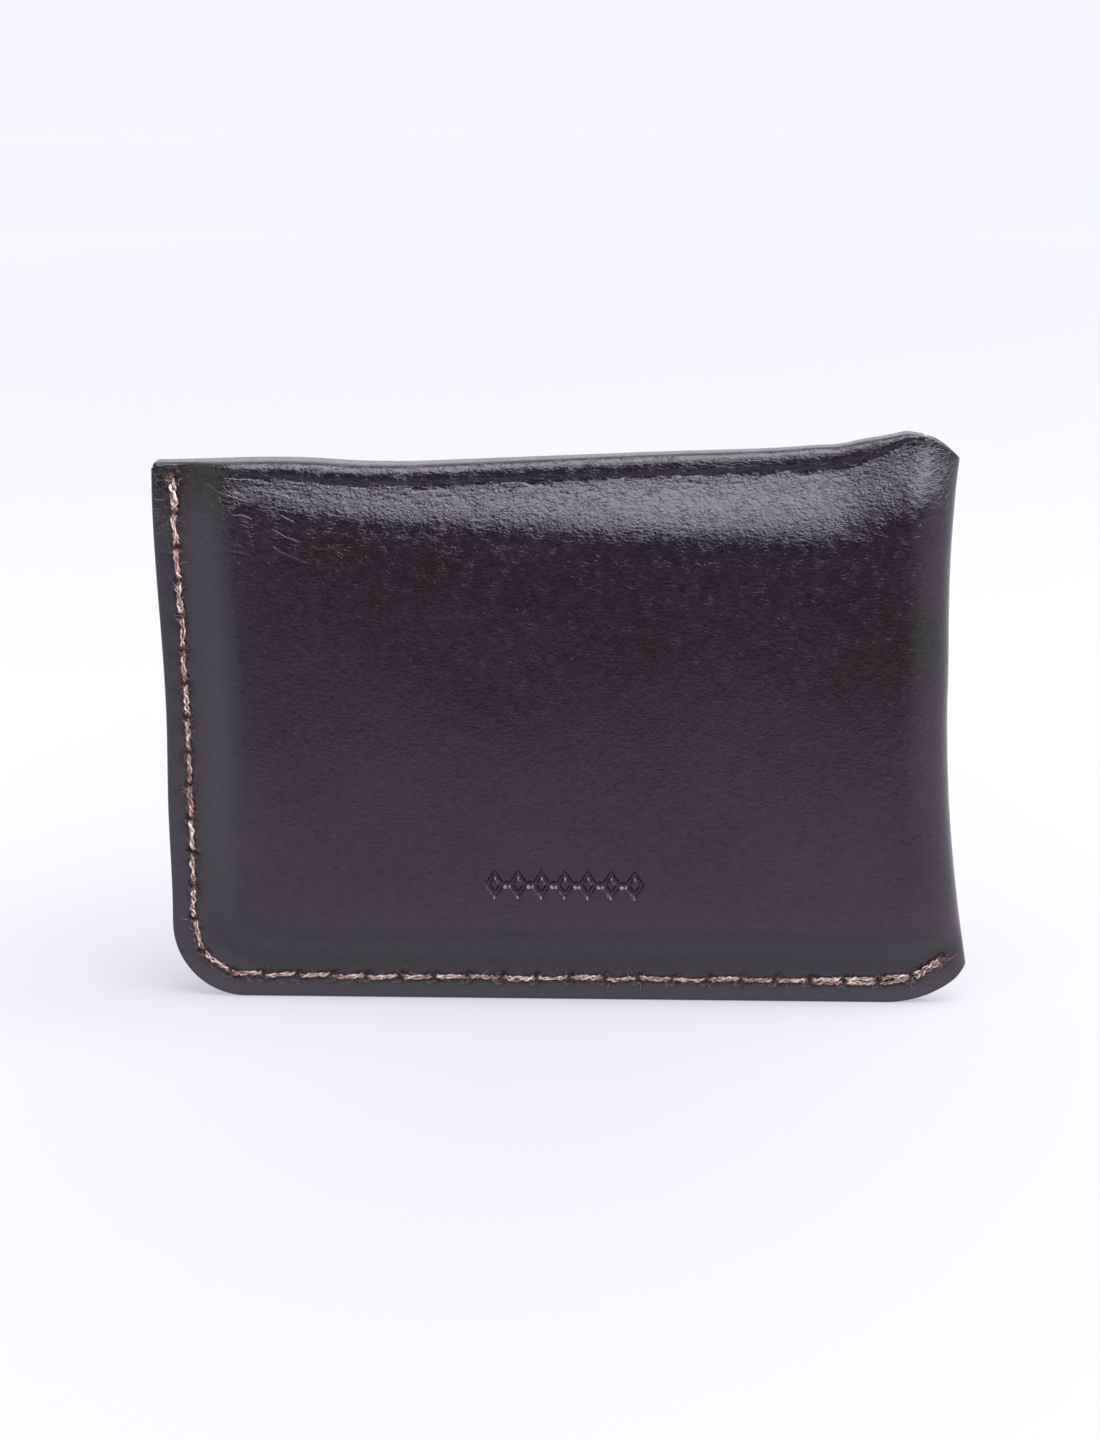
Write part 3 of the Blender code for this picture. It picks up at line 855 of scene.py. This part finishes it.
def add_stitch(bundle, start, end, side, lift, scale):
    """One stitch of twisted plies, which wanders a little on its way."""
    path, across = stitch_path(start, end, side, lift * scale, random.uniform(-0.1, 0.3))
    t = np.linspace(0, 1, len(path))
    sway = random.uniform(-0.16, 0.16) * np.sin(math.pi * t)
    sway += random.uniform(-0.1, 0.1) * np.sin(2 * math.pi * t)
    path[:, [0, 2]] += across * sway[:, None]
    length = lengths(path)
    tangent = unit(np.gradient(path, axis=0))
    aside = unit(np.cross(tangent, np.tile([0.0, side, 0.0], (len(path), 1))))
    outward = np.cross(aside, tangent)
    phase = random.uniform(0, 2 * math.pi)
    pitch = PLY_PITCH * random.uniform(0.75, 1.5)
    for ply in range(PLIES):
        loose = 1 + np.sin(math.pi * t) * random.uniform(-0.2, 0.5)
        angle = phase + 2 * math.pi * (ply / PLIES + length / pitch) + 0.5 * np.sin(length * 3 + ply)
        offset = aside * np.cos(angle)[:, None] + outward * np.sin(angle)[:, None] * 0.8
        ply_path = path + offset * (PLY_OFFSET * scale * loose)[:, None]
        for filament in range(FILAMENTS):
            spin = 2 * math.pi * (filament / FILAMENTS - length / FILAMENT_PITCH) + ply
            around = aside * np.cos(spin)[:, None] + outward * np.sin(spin)[:, None]
            wobble = FILAMENT_OFFSET + 0.02 * np.sin(length * 7 + filament * 2.1 + phase)
            radius = FILAMENT_RADIUS * scale * random.uniform(0.75, 1.15)
            bundle.add(ply_path + around * (wobble * scale)[:, None], radius, 6, random.uniform(0, 1))


def strands(i):
    """(start across the seam, end across, lift, thickness) of a stitch's strands; both ends are double."""
    if i == 0:
        return [(0.05, -0.12, 0.32, 1.25)]
    if i < 4:
        return [(0.34, -0.20, 0.26, 0.82), (-0.26, 0.30, 0.42, 0.74)]
    if i >= STITCHES - 4:
        return [(0.30, 0.22, 0.27, 0.80), (-0.28, -0.24, 0.36, 0.78)]
    return [(0.0, 0.0, 0.27, 0.86)]


def seam_thread(side):
    """Every stitch that shows on one face."""
    bundle = Bundle()
    for i in range(STITCHES):
        for start, end, lift, scale in strands(i):
            begin = shifted(HOLES[i], start + random.uniform(-0.1, 0.1))
            finish = shifted(HOLES[i + 1], end + random.uniform(-0.1, 0.1))
            add_stitch(bundle, begin, finish, side, lift, scale * random.uniform(0.9, 1.12))
    return bundle.build("back_stitches" if side < 0 else "front_stitches")


def shifted(hole, distance):
    """A hole moved across the seam."""
    return hole + distance * np.array([hole[3], -hole[2], 0, 0])


def add_fibre(bundle, spot, lean, length, side, rise):
    """A loose fibre that starts at a spot on the face and curls away."""
    face = face_height(*spot, side) + rise
    t = np.linspace(0, 1, 6)
    curl = random.uniform(-0.6, 0.6)
    px = spot[0] + length * (lean[0] * t + curl * lean[1] * t * t)
    pz = spot[1] + length * (lean[1] * t - curl * lean[0] * t * t)
    py = side * (face + 0.25 * length * np.sin(t * 2.4))
    bundle.add(np.stack([px, py, pz], 1), FIBRE_RADIUS * (1 - 0.6 * t), 3, random.uniform(0, 1))


def fuzz(side):
    """Short loose fibres at the holes and along the stitches."""
    bundle = Bundle()
    for i, (x, z, along_x, along_z) in enumerate(HOLES):
        along, across = np.array([along_x, along_z]), np.array([along_z, -along_x])
        for _ in range(FIBRES_AT_END if i in (0, STITCHES) else FIBRES_AT_HOLE):
            spot = np.array([x, z]) + random.normal(0, 0.38, 2) + along * random.normal(0, 0.5)
            angle = random.uniform(0, 2 * math.pi)
            lean = np.array([math.cos(angle), math.sin(angle)])
            add_fibre(bundle, spot, lean, random.uniform(0.35, 1.0), side, random.uniform(0.02, 0.35))
        for _ in range(FIBRES_ALONG):
            spot = np.array([x, z]) + along * random.uniform(0.6, 3.4) + across * random.normal(0, 0.26)
            lean = along * random.choice([-1, 1]) + across * random.normal(0, 0.35)
            add_fibre(bundle, spot, lean, random.uniform(0.4, 1.2), side, random.uniform(0.15, 0.6))
    return bundle.build("back_fuzz" if side < 0 else "front_fuzz")


# Materials


class Nodes:
    """Short calls for building the nodes of a new material or world."""

    def __init__(self, owner):
        self.owner = owner
        owner.use_nodes = True
        self.tree = owner.node_tree

    def put(self, socket, value):
        if isinstance(value, bpy.types.NodeSocket):
            self.tree.links.new(value, socket)
        else:
            socket.default_value = value

    def add(self, kind, inputs, output=0, **settings):
        node = self.tree.nodes.new(kind)
        for key, value in settings.items():
            setattr(node, key, value)
        for key, value in inputs.items():
            self.put(node.inputs[key], value)
        return node.outputs[output]

    def value(self, label, output="Fac"):
        """What a piece's mesh holds at each of its points."""
        return self.add("ShaderNodeAttribute", {}, output, attribute_name=label)

    def times(self, a, b):
        return self.add("ShaderNodeMath", {0: a, 1: b}, operation="MULTIPLY")

    def plus(self, a, b, weight=1.0):
        """a + b * weight"""
        return self.add("ShaderNodeMath", {0: b, 1: weight, 2: a}, operation="MULTIPLY_ADD")

    def vector(self, operation, a, b, output="Vector"):
        return self.add("ShaderNodeVectorMath", {0: a, 1: b}, output, operation=operation)

    def noise(self, vector, scale, detail=2.0, roughness=0.5):
        inputs = {"Vector": vector, "Scale": scale, "Detail": detail, "Roughness": roughness}
        return self.add("ShaderNodeTexNoise", inputs, "Fac")

    def cells(self, vector, feature, **inputs):
        inputs = {"Vector": vector, "Scale": 1.0, **inputs}
        return self.add("ShaderNodeTexVoronoi", inputs, "Distance", feature=feature)

    def between(self, value, low, high, to_low=0.0, to_high=1.0, **settings):
        """The value's range from low to high brought to the range from to_low to to_high."""
        inputs = {"Value": value, "From Min": low, "From Max": high, "To Min": to_low, "To Max": to_high}
        return self.add("ShaderNodeMapRange", inputs, clamp=True, **settings)

    def mix(self, factor, *colours):
        """A colour from the first to the second of two colours, each a socket or three numbers."""
        a, b = (c if isinstance(c, bpy.types.NodeSocket) else (*c, 1) for c in colours)
        return self.add("ShaderNodeMix", {"Factor": factor, 6: a, 7: b}, 2, data_type="RGBA")

    def bump(self, height, distance, **inputs):
        inputs = {"Height": height, "Distance": distance, "Strength": 1.0, **inputs}
        return self.add("ShaderNodeBump", inputs, "Normal")

    def finish(self, **inputs):
        """The material, with its shader's sockets set by name; a space is written as an underscore."""
        shader = self.tree.nodes["Principled BSDF"]
        for key, value in inputs.items():
            self.put(shader.inputs[key.replace("_", " ")], value)
        return self.owner


def material_nodes(name):
    """The nodes of a new material."""
    return Nodes(bpy.data.materials.new(name))


# Pairs of colours are the two ends of a variation
DYE = ((0.0016, 0.0005, 0.0010), (0.0096, 0.0050, 0.0088))
# Painted sheen colour for the left and bottom margins
PAINTED_SHEEN_COLOUR = (0.0225, 0.0180, 0.0235)
# Painted shade inside the stitch slits
SLIT_PAINTED_SHADE = (0.003, 0.002, 0.002)
RAW_EDGE = ((0.02, 0.016, 0.014), (0.07, 0.045, 0.032))
HAIRLINE = (0.06, 0.05, 0.052)
# The plies run from a painted shade to a painted highlight; the fleck colour is painted shade too
PLY_SHADE_TO_HIGHLIGHT = ((0.13, 0.050, 0.040), (0.66, 0.53, 0.49))
PLY_FLECK_SHADE = (0.09, 0.032, 0.026)
FIBRE = ((0.17, 0.055, 0.03), (0.40, 0.26, 0.21))
PLATING = ((0.36, 0.31, 0.24), (0.55, 0.48, 0.36))
GRAIN_HEIGHT = 0.036 * MM
SWELL_HEIGHT = 0.025 * MM
FIBRE_HEIGHT = 0.03 * MM
SCUFF_HEIGHT = 0.01 * MM


def leather_material():
    """Glossy near-black hide with a burgundy cast: pebbled grain, wrinkles by the crease, raw cut edges."""
    n = material_nodes("leather_skin")
    skin = n.value("skin", "Vector")
    wrinkled = n.value("wrinkled")
    hole = n.value("hole")

    # Colour: dye that varies over centimetres, with small clouds and short streaks, made lighter low down as
    # a painted reflection of the white floor
    height_up = n.add("ShaderNodeSeparateXYZ", {0: skin}, "Y")
    broad = n.noise(n.vector("MULTIPLY", skin, (0.055, 0.075, 1)), 1.0, 3.0, 0.55)
    cloud = n.noise(skin, 0.42, 4.0, 0.6)
    tone = n.plus(n.times(broad, 0.6), cloud, 0.4)
    streaks = n.noise(n.vector("MULTIPLY", skin, (1.1, 3.4, 1)), 1.0, 3.0, 0.6)
    # The height term paints a reflection of the floor: the dye gets lighter towards the bottom of the skin
    share = n.plus(n.between(tone, 0.36, 0.64, 0, 0.45), n.between(height_up, 48, 4, 0, 0.75))
    share = n.plus(share, n.between(streaks, 0.38, 0.66, -0.3, 0.35))
    # Painted sheen: the left and bottom margins are mixed towards a lighter purple-grey
    dye = n.mix(n.value("painted_sheen"), n.mix(share, *DYE), PAINTED_SHEEN_COLOUR)
    # Painted shade: the slits are darkened towards near-black
    dye = n.mix(n.times(hole, 0.85), dye, SLIT_PAINTED_SHADE)
    edge = n.mix(n.between(n.noise(skin, 3.0, 3.0), 0.35, 0.7), *RAW_EDGE)
    colour = n.mix(n.between(n.value("raw"), 0.5, 0.98), dye, edge)

    # Grain: slanting hair cracks, pebbles of about half a millimetre, and fine wrinkles near the crease
    drift = n.add("ShaderNodeTexNoise", {"Vector": skin, "Scale": 1.1}, "Color")
    bent = n.vector("ADD", skin, n.vector("MULTIPLY", drift, (0.8, 0.8, 0)))
    slanted = n.add("ShaderNodeMapping", {"Vector": bent, "Rotation": (0, 0, 0.35), "Scale": (1.0, 2.3, 1)})
    cracks = n.between(n.cells(slanted, "DISTANCE_TO_EDGE"), 0.0, 0.11)
    patches = n.between(n.noise(skin, 0.6), 0.40, 0.62)
    pebbles = n.cells(n.vector("MULTIPLY", bent, (1.9, 2.5, 1)), "SMOOTH_F1", Smoothness=0.35)
    fine = n.noise(bent, 4.2, 3.0, 0.6)
    creased = n.noise(slanted, 0.9, 3.0, 0.65)
    height = n.times(cracks, n.times(patches, n.between(wrinkled, 0, 1, 0.35, 0.9)))
    height = n.plus(height, pebbles, n.between(wrinkled, 0, 1, 0.6, 0.9))
    height = n.plus(height, fine, 0.7)
    height = n.plus(height, creased, n.between(wrinkled, 0, 0.6, 0.0, 1.5))

    # Pale hairlines at the top left
    drawn = n.add("ShaderNodeMapping", {"Vector": skin, "Rotation": (0, 0, 0.3)})
    inputs = {"Vector": drawn, "Scale": 0.13, "Distortion": 5.0, "Detail": 3.0, "Detail Scale": 0.9}
    wave = n.add("ShaderNodeTexWave", inputs, "Fac", bands_direction="Y")
    broken = n.between(n.noise(skin, 0.32, 1.0), 0.46, 0.54)
    hairs = n.times(n.between(wave, 0.975, 1.0), n.times(broken, n.value("hairlines")))
    height = n.plus(height, hairs, 1.2)
    colour = n.mix(n.times(hairs, 0.35), colour, HAIRLINE)

    normal = n.bump(height, GRAIN_HEIGHT, Normal=n.bump(n.noise(skin, 0.5), SWELL_HEIGHT))
    rough = n.between(n.plus(fine, cloud), 0.7, 1.3, 0.155, 0.235)
    rough = n.plus(rough, n.between(hole, 0.01, 0.3, 0.0, 0.65))
    return n.finish(Base_Color=colour, Roughness=rough, Normal=normal, IOR=1.5)


def thread_material():
    """Waxed thread: brown plies whose colour runs in random patches from a painted shade to a painted
    highlight, with small flecks of painted shade.
    """
    n = material_nodes("thread_plies")
    place = n.add("ShaderNodeTexCoord", {}, "Object")
    flecks = n.noise(place, 2600.0, 3.0, 0.6)
    share = n.plus(n.times(n.value("tone"), 0.6), n.noise(place, 420.0), 0.9)
    # Painted shade and painted highlight on the plies, laid out by noise
    colour = n.mix(n.between(share, 0.45, 1.0), *PLY_SHADE_TO_HIGHLIGHT)
    colour = n.mix(n.between(flecks, 0.48, 0.62, 0, 0.7), colour, PLY_FLECK_SHADE)
    fibres = n.noise(n.vector("MULTIPLY", place, (1, 1, 0.6)), 5200.0)
    return n.finish(Base_Color=colour, Roughness=0.62, Normal=n.bump(fibres, FIBRE_HEIGHT))


def fuzz_material():
    """Loose fibres, each of its own shade."""
    n = material_nodes("thread_fuzz")
    return n.finish(Base_Color=n.mix(n.between(n.value("tone"), 0.2, 1.0), *FIBRE), Roughness=0.8)


def metal_material():
    """Plated brass of the snap, with a fine turned finish and small scuffs."""
    n = material_nodes("snap_plating")
    place = n.add("ShaderNodeTexCoord", {}, "Object")
    scuffs = n.noise(place, 900.0, 4.0, 0.65)
    colour = n.mix(n.between(n.noise(place, 160.0), 0.35, 0.7), *PLATING)
    rough = n.between(scuffs, 0.3, 0.7, 0.2, 0.38)
    return n.finish(Base_Color=colour, Roughness=rough, Metallic=1.0, Normal=n.bump(scuffs, SCUFF_HEIGHT))


# Pieces


def make_leather(material):
    """The four sheets; the spine's and the flap's are shaped over the two creases and stay where they are
    made.
    """
    back = sheet_of_leather("back_and_fold_leather", wrap_skin())
    front = sheet_of_leather("front_leather", front_skin())
    spine = sheet_of_leather("spine_leather", spine_skin())
    flap = sheet_of_leather("flap_leather", flap_skin())
    for piece in (back, front, spine, flap):
        piece.data.materials.append(material)
    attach(back, "case")
    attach(front, "case")
    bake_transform(spine)
    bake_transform(flap)
    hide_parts("back_panel", "side_fold")
    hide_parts("front_panel")
    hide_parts("flap_spine")
    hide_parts("flap")


def make_thread(ply_material, fibre_material):
    """The stitches on both faces, and the loose fibres on them."""
    stitches = [seam_thread(-1), seam_thread(1)]
    fibres = [fuzz(-1), fuzz(1)]
    for piece in stitches + fibres:
        piece.data.materials.append(ply_material if piece in stitches else fibre_material)
        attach(piece, "case")
    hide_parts("seam_thread")


def raised(base, *profile):
    """A stretch of a profile of (radius, y) whose y is measured from a base."""
    return [(radius, base + y) for radius, y in profile]


def snap_profiles():
    """Closed profiles of the snap's pieces, from the inside of the front panel outwards."""
    inside = FRONT_FACE - LEATHER - SNAP_GAP - DISC
    front = FRONT_FACE + SNAP_GAP
    under_flap = FLAP_FACE - LEATHER - SNAP_GAP - FLANGE
    rim = FLAP_FACE + SNAP_GAP
    post = raised(inside, (0, 0), (4.6, 0), (4.6, DISC), (1.5, DISC)) + raised(front, (1.5, 1.2), (0, 1.2))
    stud = raised(front, (1.75, 0), (4.6, 0), (4.6, FLANGE), (1.95, FLANGE), (2.15, 1.2), (2.0, 1.65))
    stud += raised(front, (1.6, STUD_HEIGHT), (0, STUD_HEIGHT), (0, 1.5), (1.75, 1.5))
    socket = raised(under_flap, (1.75, 0), (2.7, 0)) + raised(front, (2.6, 0.6), (3.5, 0.6))
    socket += raised(under_flap, (3.7, 0), (5.2, 0), (5.2, FLANGE), (1.75, FLANGE))
    cap = raised(CAP_TOP, (0, 0), (2.2, -0.1), (4.4, -0.5), (5.7, -1.05))
    cap += raised(rim, (6.2, 0.25), (6.2, 0), (5.6, 0)) + raised(CAP_TOP, (4.2, -0.95), (1.5, -0.6))
    cap += raised(under_flap, (1.5, 0.15), (0, 0.15))
    return {"snap_post": post, "snap_stud": stud, "snap_socket": socket, "snap_cap": cap}


def make_snap(material):
    """The snap's four pieces, turned finely in place of their CAD nodes."""
    for name, profile in snap_profiles().items():
        piece = turned(name + "_turned", rounded(profile))
        piece.data.materials.append(material)
        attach(piece, "flap" if name in ("snap_cap", "snap_socket") else "case")
        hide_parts(name)


# Stage

CAMERA_TURN = 2.5
CAMERA_RISE = 10.0
CAMERA_DISTANCE = 0.536
CAMERA_TARGET = (-0.00165, 0.0, 0.0375)
CAMERA_LENS = 100.0
SENSOR = 36.0
BACKDROP = (0.922, 0.930, 0.965)
ROOM_COLOUR = (0.94, 0.96, 1.0)
SOFTBOX_TURN = 52
SOFTBOX_RISE = 59
SOFTBOX_TARGET = (0, 0, 0.05)
SOFTBOX_DISTANCE = 1.0
SOFTBOX_RADIANCE = 19.5
SOFTBOX_COLOUR = (0.93, 0.94, 1.0)
SOFTBOX_PANELS = {"softbox_core": (1.2, 0.8), "softbox_middle": (1.5, 1.15), "softbox_rim": (1.75, 1.35)}
FLAG_START = 0.22
FLAG_END = 2.5
FLAG_SIDES = (-0.11, 0.2)
FLAG_HEIGHT = 0.0005
FLOOR_HALF = 6.0


def aim(thing, target, turn, rise, distance):
    """Makes a lamp or a camera look at a target, from a turn towards +X and a rise in degrees."""
    a, e = math.radians(turn), math.radians(rise)
    away = Vector((math.sin(a) * math.cos(e), -math.cos(a) * math.cos(e), math.sin(e)))
    thing.location = Vector(target) + away * distance
    thing.rotation_euler = away.to_track_quat("Z", "Y").to_euler()


def stage_sheet(name, corners, material):
    """A sheet on the stage between four corners."""
    sheet = new_piece(name, corners, [(0, 1, 2, 3)])
    sheet.data.materials.append(material)
    return sheet


def make_camera():
    """The photo's view, a little to the right of the back and a little above it."""
    data = bpy.data.cameras.new("camera")
    data.lens = CAMERA_LENS
    data.sensor_width = SENSOR
    data.clip_end = 50
    camera = placed("camera", data)
    aim(camera, CAMERA_TARGET, CAMERA_TURN, CAMERA_RISE, CAMERA_DISTANCE)
    bpy.context.scene.camera = camera


def make_softbox():
    """Rectangular lights on top of each other, so that it is brightest in the middle."""
    for name, size in SOFTBOX_PANELS.items():
        data = bpy.data.lights.new(name, "AREA")
        data.shape = "RECTANGLE"
        data.size, data.size_y = size
        data.color = SOFTBOX_COLOUR
        data.energy = SOFTBOX_RADIANCE / len(SOFTBOX_PANELS) * math.pi * size[0] * size[1]
        aim(placed(name, data), SOFTBOX_TARGET, SOFTBOX_TURN, SOFTBOX_RISE, SOFTBOX_DISTANCE)


def make_flag():
    """A dark sheet on the floor in front, out of the picture and seen only in reflections: a painted dark
    reflection on the upper half of the back, standing in for shade in front of it.
    """
    left, right = FLAG_SIDES
    far_end = [(side * 3, -FLAG_END, FLAG_HEIGHT) for side in (left, right)]
    near_end = [(side, -FLAG_START, FLAG_HEIGHT) for side in (right, left)]
    cloth = material_nodes("dark_reflection_flag").finish(Base_Color=(0.05, 0.05, 0.055, 1), Roughness=1.0)
    flag = stage_sheet("flag", far_end + near_end, cloth)
    flag.visible_camera = False
    flag.visible_shadow = False
    flag.visible_diffuse = False


def make_world():
    """A white room: dimmer low down on the camera's side, and an even backdrop where the camera sees it."""
    n = Nodes(bpy.data.worlds.new("studio"))
    bpy.context.scene.world = n.owner
    place = n.add("ShaderNodeTexCoord", {}, "Generated")
    across, up = (n.add("ShaderNodeSeparateXYZ", {0: place}, axis) for axis in "YZ")
    towards_camera = n.between(across, -0.45, -0.9, interpolation_type="SMOOTHSTEP")
    low_down = n.between(up, 0.75, 0.3, interpolation_type="SMOOTHSTEP")
    room = n.plus(1.05, n.times(towards_camera, low_down), -0.9)
    lit = n.add("ShaderNodeBackground", {"Color": (*ROOM_COLOUR, 1), "Strength": room})
    seen = n.add("ShaderNodeBackground", {"Color": (*BACKDROP, 1)})
    by_camera = n.add("ShaderNodeLightPath", {}, "Is Camera Ray")
    both = n.add("ShaderNodeMixShader", {0: by_camera, 1: lit, 2: seen})
    n.put(n.tree.nodes["World Output"].inputs["Surface"], both)


def make_floor():
    """A light-coloured floor that glows, so that its shadow is soft as in a light tent and it meets the
    backdrop; its emission is painted light, dimmest just in front of the case as a painted shade and rising
    outwards to make up for the softbox's fall-off.
    """
    half = FLOOR_HALF
    corners = [(-half, -half, 0), (half, -half, 0), (half, half, 0), (-half, half, 0)]
    n = material_nodes("floor")
    place = n.add("ShaderNodeTexCoord", {}, "Object")
    ahead = n.vector("ADD", place, (0, 0.04, 0))
    far = n.vector("LENGTH", n.vector("MULTIPLY", ahead, (2.2, 1, 1)), (0, 0, 0), "Value")
    # Painted light: the emission is lowest a little in front of the case, a painted shade, and rises with
    # distance
    glow_and_painted_shade = n.plus(n.between(far, 0.02, 0.35, 0.465, 0.63), n.between(far, 0.35, 2.0, 0.0, 0.15))
    glow_and_painted_shade = n.plus(glow_and_painted_shade, n.between(far, 1.2, 4.0, 0.0, 0.065))
    surface = n.finish(
        Base_Color=(0.12, 0.12, 0.123, 1),
        Roughness=1.0,
        Specular_IOR_Level=0.0,
        Emission_Color=(0.955, 0.963, 1.0, 1),
        Emission_Strength=glow_and_painted_shade,
    )
    stage_sheet("floor", corners, surface)


make_camera()
make_world()
make_softbox()
make_flag()
make_floor()
make_leather(leather_material())
make_thread(thread_material(), fuzz_material())
make_snap(metal_material())
bpy.context.scene.view_settings.view_transform = "Standard"
